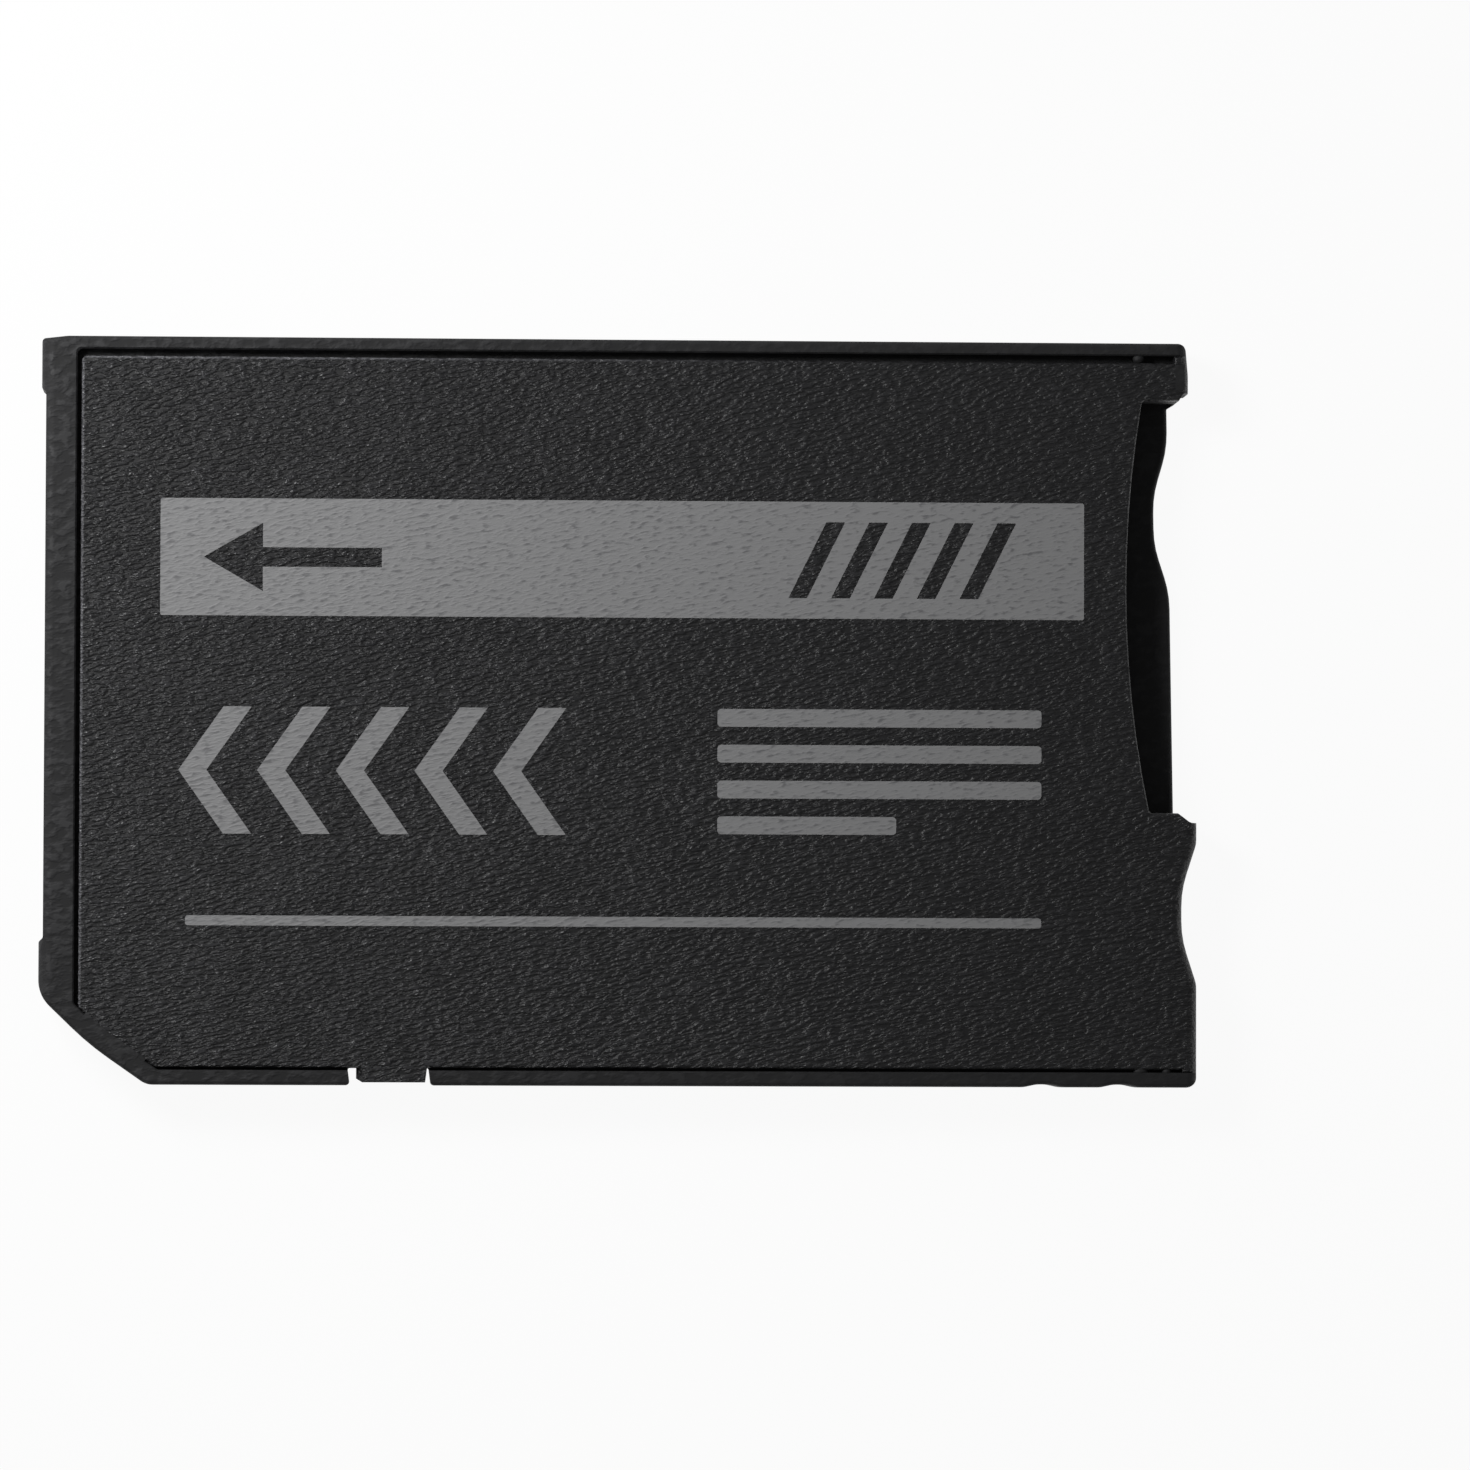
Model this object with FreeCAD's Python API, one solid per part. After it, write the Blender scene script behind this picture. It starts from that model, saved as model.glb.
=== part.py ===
import FreeCAD, Part
import math
import os

# Memory card adapter: it has the outline of a thin stick-type format and a slot for a
# smaller format. It lies label side up. +X points at the slot's mouth, -X at the end
# that enters the host, and +Y at the long side without the latch notch. The origin is
# the middle of the underside. All sizes are in millimetres.
#
# A moulded shell with a full-height rim holds a circuit board on two staked pegs. The
# board's gold pads show through a comb of windows under the insertion end. A thin
# cover plate is let into the rim and welded down. Behind the board a moulded carrier
# holds the stamped springs that make contact in the slot.

# Outside of the host card format
length = 31.0
width = 20.0
thickness = 1.6

# Walls of the two mouldings, and the groove between the rim and the cover plate
floor_wall = 0.38
cover_wall = 0.42
end_rim = 0.95
back_rim = 0.34
front_rim = 0.40
cut_rim = 0.50
end_gap = 0.12
back_gap = 0.19
front_gap = 0.07
cut_gap = 0.02
groove_end = 0.40
plate_corner = 0.15

# Outline of the insertion end
corner_cut_length = 2.89
corner_cut_width = 2.38
corner_cut_bow = 0.15
corner_cut_blend = 1.0
corner_cut_far_blend = 0.55
corner_cut_bow_blend = 8.0
lead_length = 0.7
lead_inset = 0.08
recess_depth = 0.12
recess_from_back = 1.40
recess_from_cut = 1.42
nose_edge = 0.35

# Front side: latch notch, the cover's tab over it, and two scallops
notch_setback = 8.28
notch_length = 2.17
notch_depth = 0.46
notch_corner = 0.10
notch_lean = 0.03
tab_gap_near = 0.20
tab_gap_far = 0.10
tab_inset = 0.08
tab_root = 0.08
tab_slope_run = 0.17
tab_slope_drop = 0.25
tab_corner_run = 0.16
tab_corner_rise = 0.10
scallop_width = 1.05
scallop_depth = 0.075
scallop_setback = 4.14
scallop_pitch = 2.06

# Mouth end: an ear behind the slot, and a block in front of it with a thumb scoop
ear_setback = 0.235
ear_corner = 0.25
ear_taper = 0.075
ear_taper_run = 0.85
ear_taper_blend = 2.0
end_corner = 0.30
end_edge = 0.28
ear_flare = 0.20
ear_flare_land = 0.15
ear_flare_run = 0.11
ear_flare_blend = 0.12
block_flare = 0.26
block_flare_land = 0.18
scoop_depth = 0.40
scoop_back_land = 0.82
scoop_front_land = 2.78
scoop_shoulder = 0.70

# Slot of the smaller format, its sill, and the concave edge of the cover over it
card_width = 11.0
card_length = 15.0
card_step = 1.30
card_step_length = 6.40
card_play = 0.05
slot_guide = 1.54
sill_setback = 0.52
sill_skew = 0.19
sill_corner = 0.13
sill_edge = 0.12
sill_scoop_width = 3.90
sill_scoop_depth = 0.40
sill_scoop_from_back = 3.15
arch_back = 1.49
arch_front = 1.29
arch_middle = 1.91
arch_corner = 0.12

# Bay for the circuit board
nose_wall = 1.30
side_wall = 0.80
cut_wall = 0.90
bay_corner = 0.30

# Circuit board, and the two pegs whose ends are staked into heads that hold it down
board_thickness = 0.30
board_play = 0.08
peg_radius = 0.45
peg_play = 0.06
peg_inset = 1.20
head_radius = 0.70
head_height = 0.22
head_edge = 0.12

# Components on the board
chip_side = 4.40
chip_height = 0.42
chip_bevel = 0.08
dimple_radius = 0.28
dimple_depth = 0.04
dimple_inset = 0.75
passive_length = 1.00
passive_width = 0.50
passive_height = 0.38
passive_cap = 0.25
passive_cap_rise = 0.02
passive_pitch = 1.15
passive_gap = 0.35
capacitor_count = 4
resistor_count = 3

# Contacts towards the host: their windows share the recessed end between two margins
host_contact_count = 10
host_row_margin = 0.35
host_rib = 0.30
host_window_length = 4.40
host_pad_play = 0.07
host_pad_length = 2.80
host_pad_thickness = 0.05
host_pad_setback = 0.15
host_pad_corner = 0.12

# Springs in the slot, the well under them and the carrier that holds them
spring_count = 8
spring_row_margin = 0.83
spring_width = 0.50
spring_gauge = 0.10
spring_bend = 0.12
spring_sweep = 0.60
spring_tail = 1.10
spring_step = 0.30
spring_step_run = 0.14
spring_root = 0.15
spring_bump = 2.25
spring_tip = 3.10
spring_rise = 0.24
spring_tip_dip = 0.08
spring_float = 0.02
well_depth = 0.20
well_margin = 0.35
carrier_depth = 0.85
carrier_play = 0.04

# Finishing radii of the mouldings, and how far cutting tools reach past the body
rim_edge = 0.10
rim_break = 0.04
under_edge = 0.08
plate_edge = 0.08
small_corner = 0.05
beyond = 5.0

# Shape of a finger hollow as shares of its width, the most of a straight edge that an
# arc may take, and how closely an edge has to lie at a height to count as flat there
hollow_shoulder = 0.33
hollow_blend = 0.75
arc_share = 0.49
flat_tolerance = 1e-6

# Degrees that stand a flat drawing up, and decimals of the printed volumes
quarter_turn = 90
volume_decimals = 3

# Places that follow from the sizes above
nose_x = -length / 2
mouth_x = length / 2
back_y = width / 2
front_y = -width / 2
ceiling_z = thickness - cover_wall
ear_x = mouth_x - ear_setback
recess_x = nose_x + recess_depth
recess_back = back_y - recess_from_back
recess_front = front_y + corner_cut_width + recess_from_cut
slot_back = back_y - slot_guide
slot_front = slot_back - card_width - 2 * card_play
slot_middle = (slot_back + slot_front) / 2
key_back = slot_back - card_step
sill_x = mouth_x - sill_setback
stop_x = sill_x - card_length
carrier_x = stop_x - carrier_depth
notch_near = nose_x + notch_setback
notch_far = notch_near + notch_length
notch_y = front_y + notch_depth
well_z = floor_wall - well_depth
board_top = floor_wall + board_thickness
board_x = nose_x + nose_wall + board_play
board_end = carrier_x - board_play
board_back = back_y - side_wall - board_play
board_front = front_y + side_wall + board_play
board_middle = (board_x + board_end) / 2
host_row_y = (recess_back + recess_front) / 2
host_row_width = recess_back - recess_front - 2 * host_row_margin
host_pitch = (host_row_width + host_rib) / host_contact_count
host_window_width = host_pitch - host_rib
host_pad_width = host_window_width - 2 * host_pad_play
spring_row_y = (slot_front + key_back) / 2
spring_row_width = key_back - slot_front - 2 * spring_row_margin
spring_pitch = (spring_row_width - spring_width) / (spring_count - 1)


def point(x, y, z=0.0):
    return FreeCAD.Vector(x, y, z)


def rounded_turn(before, corner, after, radius):
    """Start, middle and end of the tangent arc that rounds a corner within its legs."""
    to_before = (before - corner).normalize()
    to_after = (after - corner).normalize()
    half_angle = to_before.getAngle(to_after) / 2
    room = arc_share * min((before - corner).Length, (after - corner).Length)
    run = min(radius / math.tan(half_angle), room)
    fitted = run * math.tan(half_angle)
    inwards = (to_before + to_after).normalize()
    middle = corner + inwards * (fitted / math.sin(half_angle) - fitted)
    return corner + to_before * run, middle, corner + to_after * run


def rounded_path(corners, closed=True):
    """Wire through (x, y, radius) corners, with a tangent arc wherever there is a radius."""
    places = [point(x, y) for x, y, radius in corners]
    last = len(corners) - 1
    stops = []
    for index, place in enumerate(places):
        radius = corners[index][2]
        if radius > 0 and (closed or 0 < index < last):
            after = places[0] if index == last else places[index + 1]
            stops.append(rounded_turn(places[index - 1], place, after, radius))
        else:
            stops.append((place, None, place))
    edges = []
    for index, (start, middle, end) in enumerate(stops):
        if middle is not None:
            edges.append(Part.Arc(start, middle, end).toShape())
        if index < last:
            edges.append(Part.LineSegment(end, stops[index + 1][0]).toShape())
        elif closed:
            edges.append(Part.LineSegment(end, stops[0][0]).toShape())
    return Part.Wire(edges)


def prism(corners, low_z, high_z):
    """Straight-sided solid over a plan of (x, y, radius) corners."""
    face = Part.Face(rounded_path(corners))
    face.translate(point(0, 0, low_z))
    return face.extrude(point(0, 0, high_z - low_z))


def side_prism(corners, low_y, high_y):
    """Solid whose side view has (x, z, radius) corners, running along Y."""
    face = Part.Face(rounded_path(corners))
    face.rotate(point(0, 0), point(1, 0), quarter_turn)
    face.translate(point(0, low_y))
    return face.extrude(point(0, high_y - low_y))


def rectangle(low_x, high_x, low_y, high_y, radius=0.0):
    return [
        (low_x, low_y, radius),
        (high_x, low_y, radius),
        (high_x, high_y, radius),
        (low_x, high_y, radius),
    ]


def square_about(x, y, size_x, size_y, radius=0.0):
    return rectangle(x - size_x / 2, x + size_x / 2, y - size_y / 2, y + size_y / 2, radius)


def peg(x, y, radius, low_z, high_z):
    return Part.makeCylinder(radius, high_z - low_z, point(x, y, low_z))


def row(count, pitch, middle=0.0):
    """Places of a row of equal steps about its middle."""
    return [middle + (index - (count - 1) / 2) * pitch for index in range(count)]


def level_edges(shape, z):
    """Edges that lie flat at height z."""
    return [
        edge for edge in shape.Edges
        if abs(edge.BoundBox.ZMin - z) < flat_tolerance
        and abs(edge.BoundBox.ZMax - z) < flat_tolerance
    ]


def finger_hollow(start, end, depth, inward):
    """Corners of a shallow hollow with eased shoulders in a straight edge."""
    run = end - start
    near = start + run * hollow_shoulder + inward * depth
    far = end - run * hollow_shoulder + inward * depth
    radius = run.Length * hollow_blend
    return [
        (start.x, start.y, radius),
        (near.x, near.y, radius),
        (far.x, far.y, radius),
        (end.x, end.y, radius),
    ]


def moved_line(start, end, inset):
    """Line through two places, moved to its left, as one of its places and its direction."""
    run = (end - start).normalize()
    return start + point(-run.y, run.x) * inset, run


def crossing(first, second):
    """Place where two such lines cross."""
    place, run = first
    other_place, other_run = second
    return place + run * ((other_place - place).cross(other_run).z / run.cross(other_run).z)


def cut_corner(end_inset, side_inset, cut_inset, blend, far_blend):
    """Corners of the slanted, slightly bowed corner, moved in from end, side and slant."""
    upper = point(nose_x, front_y + corner_cut_width)
    lower = point(nose_x + corner_cut_length, front_y)
    bow = moved_line(upper, lower, -corner_cut_bow)[0] + (lower - upper) / 2
    lines = [
        moved_line(point(nose_x, back_y), upper, end_inset),
        moved_line(upper, bow, cut_inset),
        moved_line(bow, lower, cut_inset),
        moved_line(lower, point(mouth_x, front_y), side_inset),
    ]
    places = [crossing(first, second) for first, second in zip(lines, lines[1:])]
    blends = [blend, corner_cut_bow_blend, far_blend]
    return [(place.x, place.y, radius) for place, radius in zip(places, blends)]


def nose_plan():
    """Corners of the insertion end, from the back side round to the slanted corner."""
    return [
        (nose_x + lead_length, back_y, corner_cut_blend),
        (nose_x, back_y - lead_inset, rim_edge),
        (nose_x, recess_back, rim_edge),
        (recess_x, recess_back - rim_edge, rim_edge),
        (recess_x, recess_front + rim_edge, rim_edge),
        (nose_x, recess_front, rim_edge),
    ] + cut_corner(0, 0, 0, corner_cut_blend, corner_cut_far_blend)


def scallop_plan():
    """Corners of the two scallops near the mouth end of the front side."""
    corners = []
    for setback in (scallop_setback, scallop_setback - scallop_pitch):
        start = point(mouth_x - setback - scallop_width / 2, front_y)
        end = start + point(scallop_width, 0)
        corners += finger_hollow(start, end, scallop_depth, point(0, 1))
    return corners


def end_plan():
    """Corners of the mouth end before the slot and the scoops are cut out of it."""
    return [
        (mouth_x, front_y, end_corner),
        (mouth_x, slot_middle, end_corner),
        (ear_x, slot_middle, end_corner),
        (ear_x, back_y - ear_taper_run, ear_taper_blend),
        (ear_x - ear_taper, back_y, ear_corner),
    ]


def thumb_scoop():
    """Corners of the thumb scoop in the end of the block, from front to back."""
    start = point(mouth_x, front_y + scoop_front_land)
    end = point(mouth_x, slot_front - scoop_back_land)
    corners = finger_hollow(start, end, scoop_depth, point(-1, 0))
    first = (start.x, start.y, scoop_shoulder)
    last = (end.x, end.y, scoop_shoulder)
    return [first] + corners[1:-1] + [last]


def block_end():
    """Corners along the end of the block, from its front corner to the slot."""
    return [(mouth_x, front_y + end_corner, 0)] + thumb_scoop() + [(mouth_x, slot_front, 0)]


def ear_end():
    """Corners along the tapered end of the ear, from inside the slot to past the back."""
    bend = point(ear_x, back_y - ear_taper_run)
    past = point(ear_x - ear_taper, back_y) * 2 - bend
    return [(ear_x, slot_middle, 0), (bend.x, bend.y, ear_taper_blend), (past.x, past.y, 0)]


def sill_line():
    """Corners of the floor's edge across the slot, with its own finger scoop."""
    start = point(sill_x, slot_front)
    end = point(sill_x - sill_skew, slot_back)
    run = (end - start).normalize()
    middle = start + run * ((end - start).Length - sill_scoop_from_back)
    half = run * (sill_scoop_width / 2)
    scoop = finger_hollow(middle - half, middle + half, sill_scoop_depth, point(-1, 0))
    stop = end - run * sill_corner
    return [(start.x, start.y, small_corner)] + scoop + [(stop.x, stop.y, small_corner)]


def mouth_opening():
    """Space past the sill, between ear and block, flared where it meets their ends."""
    block_flare_y = slot_front - block_flare
    ear_flare_y = slot_back + ear_flare
    flare_end = ear_x - ear_flare_land
    corners = sill_line() + [
        (flare_end - ear_flare_run, slot_back, small_corner),
        (flare_end, ear_flare_y, ear_flare_blend),
        (mouth_x + beyond, ear_flare_y, 0),
        (mouth_x + beyond, block_flare_y, 0),
        (mouth_x - block_flare_land, block_flare_y, block_flare),
    ]
    return prism(corners, -beyond, thickness + beyond)


def edge_rounder(path, outward, radius, top_z):
    """Tool that rounds the top edge of the body along a plan path."""
    up = point(0, 0, 1)
    low = path.Vertexes[0].Point + up * (top_z - radius)
    high = low + (up - outward) * radius
    centre = low - outward * radius
    middle = centre + (outward + up) * (radius / math.sqrt(2))
    over = high + up * radius
    outer = low + (outward + up * 2) * radius
    under = low + outward * radius
    section = Part.Wire([
        Part.Arc(low, middle, high).toShape(),
        Part.LineSegment(high, over).toShape(),
        Part.LineSegment(over, outer).toShape(),
        Part.LineSegment(outer, under).toShape(),
        Part.LineSegment(under, low).toShape(),
    ])
    return path.makePipeShell([section], True, False)


def card_blank():
    """Full-thickness body with the outline that shows from above and rounded edges."""
    blank = prism(nose_plan() + scallop_plan() + end_plan(), 0, thickness)
    blank = blank.makeFillet(rim_edge, level_edges(blank, thickness))
    blank = blank.makeFillet(under_edge, level_edges(blank, 0))
    scoop = block_end()
    past = mouth_x + beyond
    open_scoop = [(past, scoop[0][1], 0)] + scoop + [(past, scoop[-1][1], 0)]
    blank = blank.cut(prism(open_scoop, -beyond, thickness + beyond))
    block_path = [(mouth_x, front_y - beyond, 0)] + scoop[1:]
    nose_path = [(nose_x, back_y + beyond, 0), (nose_x, front_y - beyond, 0)]
    for corners, outward, radius in (
        (block_path, 1, end_edge),
        (ear_end(), 1, end_edge),
        (nose_path, -1, nose_edge),
    ):
        path = rounded_path(corners, closed=False)
        blank = blank.cut(edge_rounder(path, point(outward, 0), radius, thickness))
    return blank.cut(mouth_opening())


def rim_plan(widening):
    """Corners inside the rim, open at the mouth, once the rim is made thinner."""
    cut = cut_corner(
        end_rim - widening, front_rim - widening, cut_rim - widening, plate_corner, plate_corner
    )
    return [(nose_x + end_rim - widening, back_y - back_rim + widening, plate_corner)] + cut + [
        (mouth_x + beyond, front_y + front_rim - widening, 0),
        (mouth_x + beyond, back_y - back_rim + widening, 0),
    ]


def rim_opening():
    """Space inside the rim from the cover plate's seat upwards, its top edge broken."""
    low = rounded_path(rim_plan(0))
    low.translate(point(0, 0, thickness - rim_break))
    high = rounded_path(rim_plan(rim_break))
    high.translate(point(0, 0, thickness))
    edge_break = Part.makeLoft([low, high], True, True)
    return prism(rim_plan(0), ceiling_z, thickness + beyond).fuse(edge_break)


def board_plan(play):
    """Corners of the board's bay, or of the board itself once play is taken off."""
    cut = cut_corner(
        nose_wall + play, side_wall + play, cut_wall + play, bay_corner, bay_corner
    )
    return [(nose_x + nose_wall + play, back_y - side_wall - play, bay_corner)] + cut + [
        (carrier_x - play, front_y + side_wall + play, bay_corner),
        (carrier_x - play, back_y - side_wall - play, bay_corner),
    ]


def card_space():
    """Space of the slot, stepped in at its far end so that it is entered one way round."""
    step_x = stop_x + card_step_length
    corners = [
        (stop_x, slot_front, 0),
        (mouth_x + beyond, slot_front, 0),
        (mouth_x + beyond, slot_back, 0),
        (step_x + card_step, slot_back, small_corner),
        (step_x, key_back, small_corner),
        (stop_x, key_back, 0),
    ]
    return prism(corners, floor_wall, ceiling_z)


def carrier_seat():
    return prism(rectangle(carrier_x, stop_x, slot_front, key_back), well_z, ceiling_z)


def spring_well():
    """Hollow in the floor that the springs bend down into."""
    half = (spring_count - 1) / 2 * spring_pitch + spring_width / 2 + well_margin
    well_end = stop_x + spring_tip + well_margin
    corners = rectangle(
        carrier_x, well_end, spring_row_y - half, spring_row_y + half, well_margin / 2
    )
    return prism(corners, well_z, floor_wall)


def host_windows():
    """Comb of windows under the insertion end, open at its edge, one for each pad."""
    windows = []
    for y in row(host_contact_count, host_pitch, host_row_y):
        half = host_window_width / 2
        plan = rectangle(
            nose_x - beyond, nose_x + host_window_length, y - half, y + half, small_corner
        )
        windows.append(prism(plan, -beyond, floor_wall))
    return windows


def latch_notch():
    """Notch through the front side: its walls lean and its outer corners are rounded off."""
    corners = [
        (notch_near - notch_lean, notch_y, small_corner),
        (notch_far - notch_lean, notch_y, small_corner),
        (notch_far + notch_lean, front_y, notch_corner),
        (notch_far + beyond, front_y, 0),
        (notch_far + beyond, front_y - beyond, 0),
        (notch_near - beyond, front_y - beyond, 0),
        (notch_near - beyond, front_y, 0),
        (notch_near + notch_lean, front_y, notch_corner),
    ]
    return prism(corners, -beyond, thickness + beyond)


def peg_places():
    return [
        (board_x + peg_inset, board_back - peg_inset),
        (board_end - peg_inset, board_front + peg_inset),
    ]


def staked_peg(x, y):
    """Peg through the board, with the domed head that it is melted into above it."""
    top_z = board_top + head_height
    head = peg(x, y, head_radius, board_top, top_z)
    head = head.makeFillet(head_edge, level_edges(head, top_z))
    return head.fuse(peg(x, y, peg_radius, floor_wall, board_top))


def bottom_shell(blank):
    """Moulding with the floor, the rim, the slot's guides and the board's bay."""
    shell = blank.cut(rim_opening())
    shell = shell.cut(prism(board_plan(0), floor_wall, ceiling_z))
    spaces = [card_space(), carrier_seat(), spring_well(), latch_notch()]
    for space in spaces + host_windows():
        shell = shell.cut(space)
    sill = rounded_path(sill_line(), closed=False)
    shell = shell.cut(edge_rounder(sill, point(1, 0), sill_edge, floor_wall))
    for x, y in peg_places():
        shell = shell.fuse(staked_peg(x, y))
    return shell.removeSplitter()


def plate_plan():
    """Corners of the cover plate; its sides meet the rim just short of the mouth end."""
    cut = cut_corner(
        end_rim + end_gap, front_rim + front_gap, cut_rim + cut_gap, plate_corner, plate_corner
    )
    back_edge = back_y - back_rim
    front_edge = front_y + front_rim
    return [(nose_x + end_rim + end_gap, back_edge - back_gap, plate_corner)] + cut + [
        (mouth_x - groove_end, front_edge + front_gap, 0),
        (mouth_x - groove_end, front_edge, 0),
        (mouth_x, front_edge, 0),
        (mouth_x, back_edge, 0),
        (ear_x - groove_end, back_edge, 0),
        (ear_x - groove_end, back_edge - back_gap, 0),
    ]


def cover_arch():
    """Space that the cover's concave edge leaves open over the slot's sill."""
    back = point(mouth_x - arch_back, slot_back)
    middle = point(mouth_x - arch_middle, slot_middle)
    front = point(mouth_x - arch_front, slot_front)
    past_front = point(mouth_x + beyond, slot_front)
    past_back = point(mouth_x + beyond, slot_back)
    outline = Part.Wire([
        Part.Arc(back, middle, front).toShape(),
        Part.LineSegment(front, past_front).toShape(),
        Part.LineSegment(past_front, past_back).toShape(),
        Part.LineSegment(past_back, back).toShape(),
    ])
    arch = Part.Face(outline).extrude(point(0, 0, thickness + beyond))
    corners = [
        edge for edge in arch.Edges
        if edge.BoundBox.ZLength > thickness and edge.BoundBox.XMax < mouth_x
    ]
    return arch.makeFillet(arch_corner, corners)


def cover_tab():
    """Tab of the cover that stands over the latch notch, as thick as the plate."""
    near = notch_near + tab_gap_near
    far = notch_far - tab_gap_far
    end_y = front_y + tab_inset
    root_y = front_y + front_rim + front_gap + tab_root
    profile = [
        (near, ceiling_z, 0),
        (far + notch_lean, ceiling_z, 0),
        (far + notch_lean, thickness, 0),
        (near + tab_slope_run, thickness, 0),
        (near, thickness - tab_slope_drop, 0),
    ]
    plan = [
        (near, root_y, 0),
        (near, end_y + tab_corner_rise, 0),
        (near + tab_corner_run, end_y, 0),
        (far - notch_lean, end_y, 0),
        (far + notch_lean, root_y, 0),
    ]
    return side_prism(profile, end_y, root_y).common(prism(plan, 0, thickness))


def top_cover(blank):
    """Thin flat plate let into the rim, with a tab and a concave mouth edge."""
    plate = prism(plate_plan(), ceiling_z, thickness)
    plate = plate.cut(cover_arch())
    plate = plate.makeFillet(plate_edge, level_edges(plate, thickness))
    plate = plate.common(blank)
    return plate.fuse(cover_tab()).removeSplitter()


def circuit_board():
    board = prism(board_plan(board_play), floor_wall, board_top)
    for x, y in peg_places():
        board = board.cut(peg(x, y, peg_radius + peg_play, 0, thickness))
    return board


def controller_chip():
    """Moulded chip with bevelled top edges and a dimple that marks its first corner."""
    top_z = board_top + chip_height
    chip = prism(square_about(board_middle, host_row_y, chip_side, chip_side), board_top, top_z)
    chip = chip.makeChamfer(chip_bevel, level_edges(chip, top_z))
    inset = chip_side / 2 - dimple_inset
    dimple = peg(board_middle - inset, host_row_y + inset, dimple_radius, top_z - dimple_depth, top_z)
    return chip.cut(dimple)


def chip_passive(x, y, size_x, size_y, cap_x, cap_y):
    """Surface-mounted capacitor or resistor: a body with a slightly larger cap at each end."""
    top_z = board_top + passive_height
    shape = prism(square_about(x, y, size_x, size_y), board_top, top_z)
    rise = passive_cap_rise
    for side in (-1, 1):
        cap_middle_x = x + side * (size_x - cap_x) / 2
        cap_middle_y = y + side * (size_y - cap_y) / 2
        plan = square_about(cap_middle_x, cap_middle_y, cap_x + 2 * rise, cap_y + 2 * rise, rise)
        shape = shape.fuse(prism(plan, board_top, top_z + rise))
    return shape.removeSplitter()


def capacitors():
    """Column of capacitors between the chip and the insertion end."""
    x = board_middle - chip_side / 2 - passive_gap - passive_length / 2
    return [
        chip_passive(x, y, passive_length, passive_width, passive_cap, passive_width)
        for y in row(capacitor_count, passive_pitch, host_row_y)
    ]


def resistors():
    """Row of resistors in front of the chip."""
    y = host_row_y - chip_side / 2 - passive_gap - passive_length / 2
    return [
        chip_passive(x, y, passive_width, passive_length, passive_width, passive_cap)
        for x in row(resistor_count, passive_pitch, board_middle)
    ]


def host_contacts():
    """Gold pads under the board, one in each window."""
    low_x = board_x + host_pad_setback
    pads = []
    for y in row(host_contact_count, host_pitch, host_row_y):
        half = host_pad_width / 2
        plan = rectangle(low_x, low_x + host_pad_length, y - half, y + half, host_pad_corner)
        pads.append(prism(plan, floor_wall - host_pad_thickness, floor_wall))
    return pads


def strip_outline(line, gauge):
    """Closed outline of a bent strip of even thickness along (x, z, radius) corners."""
    left = []
    right = []
    places = [point(x, z) for x, z, radius in line]
    for index, place in enumerate(places):
        before = (place - places[index - 1]).normalize() if index else None
        after = (places[index + 1] - place).normalize() if index < len(places) - 1 else None
        arriving = before or after
        leaving = after or before
        normal = point(-arriving.y - leaving.y, arriving.x + leaving.x).normalize()
        half = gauge / 2 / normal.dot(point(-arriving.y, arriving.x))
        radius = line[index][2]
        turn = math.copysign(gauge / 2, arriving.cross(leaving).z) if radius else 0
        for side, direction in ((left, 1), (right, -1)):
            edge_place = place + normal * (half * direction)
            side.append((edge_place.x, edge_place.y, radius - turn * direction))
    return left + right[::-1]


def card_springs():
    """Stamped contacts: tail on the board, step down, rising leaf, bump and dipped tip."""
    half_gauge = spring_gauge / 2
    tail_z = board_top + half_gauge
    leaf_z = well_z + spring_float + half_gauge
    step_x = carrier_x + spring_step
    line = [
        (board_end - spring_tail, tail_z, 0),
        (step_x, tail_z, spring_bend),
        (step_x + spring_step_run, leaf_z, spring_bend),
        (stop_x + spring_root, leaf_z, spring_sweep),
        (stop_x + spring_bump, floor_wall + spring_rise - half_gauge, spring_sweep),
        (stop_x + spring_tip, floor_wall - spring_tip_dip - half_gauge, 0),
    ]
    outline = strip_outline(line, spring_gauge)
    return [
        side_prism(outline, y - spring_width / 2, y + spring_width / 2)
        for y in row(spring_count, spring_pitch, spring_row_y)
    ]


def contact_carrier(springs):
    """Moulded bar across the slot's far end that holds the springs and ends the slot."""
    plan = rectangle(
        carrier_x + carrier_play, stop_x,
        slot_front + carrier_play, key_back - carrier_play, small_corner,
    )
    carrier = prism(plan, well_z, ceiling_z)
    for spring in springs:
        carrier = carrier.cut(spring)
    return carrier


def adapter():
    """All pieces of the adapter by name."""
    blank = card_blank()
    springs = card_springs()
    pieces = {
        "bottom_shell": bottom_shell(blank),
        "top_cover": top_cover(blank),
        "circuit_board": circuit_board(),
        "controller_chip": controller_chip(),
        "contact_carrier": contact_carrier(springs),
    }
    groups = {
        "capacitor": capacitors(),
        "resistor": resistors(),
        "host_contact": host_contacts(),
        "card_spring": springs,
    }
    for name, shapes in groups.items():
        for number, shape in enumerate(shapes, start=1):
            pieces[f"{name}_{number:02d}"] = shape
    return pieces


os.makedirs("parts", exist_ok=True)
for name, shape in adapter().items():
    shape.exportStep(f"parts/{name}.step")
    print(name, len(shape.Solids), shape.isValid(), round(shape.Volume, volume_decimals))
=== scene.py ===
# %% [markdown]
# # A thin memory card adapter in black moulded plastic
#
# The object is a flat plate of 31 x 20 x 1.6 mm: a moulded shell with a rim, and a
# cover plate let into it. The solids come ready made, at their real size. This file
# gives every piece its finish, adds the print and a few marks of welding that the
# solids leave out, and lights it all on a white sheet.
#
# Everything is in metres, so a size in millimetres is multiplied by `mm`.

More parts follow.
